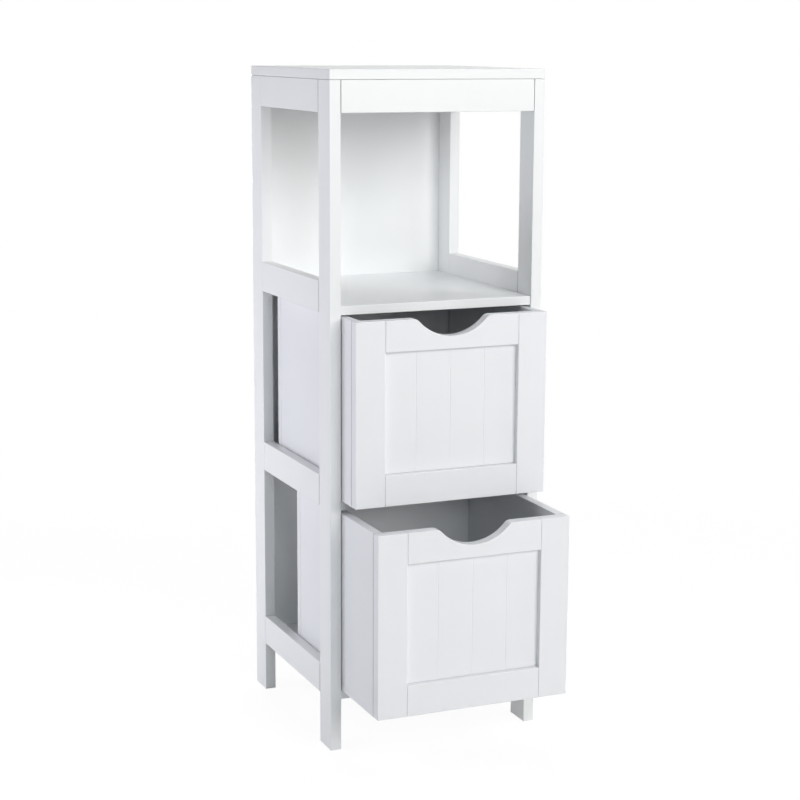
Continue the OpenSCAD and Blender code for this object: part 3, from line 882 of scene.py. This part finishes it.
# ------------------------------------------------------------------ camera, floor and light
CAMERA_TURN = (-23.28, -10.899, 0.287)           # yaw, pitch and roll in degrees
CAMERA_PLACE = (-0.99556, -2.34086, 0.92511)
CAMERA_LENS = 84.307           # in mm
CAMERA_SENSOR = 36             # width in mm
CAMERA_REACH = 50              # how far it sees, in metres

MIRRORED = 0.75                # how bright the white surroundings are in the paint's gloss
FLOOR_HALF = 40.0              # half the floor's width
FLOOR_GREY = 0.76              # its paint, as the lamps' light meets it
FLOOR_SHADE = 0.08             # share of the floor's look that takes the tower's shadow
SHADE_FADE = (0.6, 1.6)        # distances over which that share fades out
SHADE_TONE = 1.4               # brightness of the lit share, which leaves open floor white

LAMP_MIDDLE = Vector((0, -0.05, 0.6))            # what the lamps stand round
LAMP_AIM = Vector((0, -0.05, 0.45))              # what they look at
LAMPS = (       # name, azimuth and elevation in degrees, distance, size, power in watts, colour
    ("key", 15, 18, 3.5, 1.8, 69.8, (1.0, 0.96, 0.96)),
    ("fill", -8, 18, 3.5, 1.2, 24.6, (0.89, 0.99, 1.0)),
    ("left", -85, 20, 1.1, 0.4, 3.2, (0.94, 0.91, 1.0)),
    ("low_left", -115, -14, 1.1, 0.4, 4.2, (0.91, 0.93, 1.0)),
    ("right", 70, 32, 1.7, 0.8, 7.6, (0.92, 0.98, 1.0)),
    ("back_right", 150, 50, 1.7, 0.8, 10.0, (0.96, 1.0, 0.98)),
    ("back", 180, 0, 2.5, 0.5, 16.6, (1.0, 1.0, 1.0)),
)


def photo_camera():
    """The camera of the photograph, as its straight edges place and turn it."""
    yaw, pitch, roll = (math.radians(angle) for angle in CAMERA_TURN)
    forward = np.array([-math.sin(yaw) * math.cos(pitch), math.cos(yaw) * math.cos(pitch),
                        math.sin(pitch)])
    right = np.array([math.cos(yaw), math.sin(yaw), 0])
    up = np.cross(right, forward)
    rolled_right = math.cos(roll) * right + math.sin(roll) * up
    rolled_up = math.cos(roll) * up - math.sin(roll) * right
    axes = np.stack([rolled_right, rolled_up, -forward], -1)
    data = bpy.data.cameras.new("photo_camera")
    data.sensor_width = CAMERA_SENSOR
    data.lens = CAMERA_LENS
    data.clip_end = CAMERA_REACH
    camera = add_object("photo_camera", data)
    camera.matrix_world = Matrix.LocRotScale(
        CAMERA_PLACE, Matrix(axes.tolist()).to_quaternion(), None)
    bpy.context.scene.camera = camera


def seen_directly(tree):
    """How much a ray shows of the white surroundings: 1 to the camera, less in a reflection."""
    path = add_node(tree, "ShaderNodeLightPath")
    mirror = add_node(tree, "ShaderNodeMath", {0: path.outputs["Is Glossy Ray"],
                                               1: path.outputs["Is Transmission Ray"]},
                      operation="MAXIMUM")
    dimmed = add_node(tree, "ShaderNodeMath", {0: mirror.outputs[0], 1: MIRRORED},
                      operation="MULTIPLY")
    return add_node(tree, "ShaderNodeMath", {0: path.outputs["Is Camera Ray"],
                                             1: dimmed.outputs[0]},
                    operation="MAXIMUM").outputs[0]


def pale_floor():
    """A wide floor: plain pale paint to the light, and white with a faint shadow to the camera.

    Seen directly it glows, and a thin share of it takes the lamps' light and shadow; that share
    fades out with the distance from the tower.
    """
    mesh = bpy.data.meshes.new("floor")
    mesh.from_pydata([(x * FLOOR_HALF, y * FLOOR_HALF, 0)
                      for x, y in ((-1, -1), (1, -1), (1, 1), (-1, 1))], [], [(0, 1, 2, 3)])
    floor = add_object("floor", mesh)
    material, tree, shader = new_material("floor")
    shader.inputs["Base Color"].default_value = (FLOOR_GREY, FLOOR_GREY, FLOOR_GREY, 1)
    shader.inputs["Roughness"].default_value = 0.9
    place = add_node(tree, "ShaderNodeTexCoord").outputs["Object"]
    away = add_node(tree, "ShaderNodeVectorMath", {0: place}, operation="LENGTH")
    share = add_node(tree, "ShaderNodeMapRange",
                     {"Value": away.outputs["Value"], "From Min": SHADE_FADE[0],
                      "From Max": SHADE_FADE[1], "To Min": FLOOR_SHADE, "To Max": 0.0},
                     interpolation_type="SMOOTHSTEP")
    level = add_node(tree, "ShaderNodeMath", {0: 1.0, 1: share.outputs[0]}, operation="SUBTRACT")
    tone = add_node(tree, "ShaderNodeMath", {0: share.outputs[0], 1: SHADE_TONE},
                    operation="MULTIPLY")
    glow = add_node(tree, "ShaderNodeEmission", {"Strength": level.outputs[0]})
    shade = add_node(tree, "ShaderNodeBsdfDiffuse", {"Color": tone.outputs[0]})
    seen = add_node(tree, "ShaderNodeAddShader", {0: glow.outputs[0], 1: shade.outputs[0]})
    mix = add_node(tree, "ShaderNodeMixShader",
                   {0: seen_directly(tree), 1: shader.outputs[0], 2: seen.outputs[0]})
    tree.links.new(mix.outputs[0], first_of(tree, "OUTPUT_MATERIAL").inputs["Surface"])
    mesh.materials.append(material)


def soft_box(name, azimuth, elevation, distance, size, power, colour):
    """A square lamp, turned to the tower. Azimuth 0 is in front of it, 90 to its right."""
    turn, rise = math.radians(azimuth), math.radians(elevation)
    way = Vector((math.sin(turn) * math.cos(rise), -math.cos(turn) * math.cos(rise),
                  math.sin(rise)))
    place = LAMP_MIDDLE + distance * way
    data = bpy.data.lights.new(name, "AREA")
    data.shape = "SQUARE"
    data.size = size
    data.energy = power
    data.color = colour
    lamp = add_object(name, data)
    lamp.matrix_world = Matrix.LocRotScale(
        place, (place - LAMP_AIM).to_track_quat("Z", "Y"), None)


def white_world():
    """White surroundings for the camera and, dimmed, for reflections; they give no other light."""
    world = bpy.data.worlds.new("studio")
    bpy.context.scene.world = world
    world.use_nodes = True
    background = first_of(world.node_tree, "BACKGROUND")
    background.inputs["Color"].default_value = (1, 1, 1, 1)
    world.node_tree.links.new(seen_directly(world.node_tree), background.inputs["Strength"])


photo_camera()
pale_floor()
for lamp in LAMPS:
    soft_box(*lamp)
white_world()
bpy.context.scene.view_settings.view_transform = "Standard"
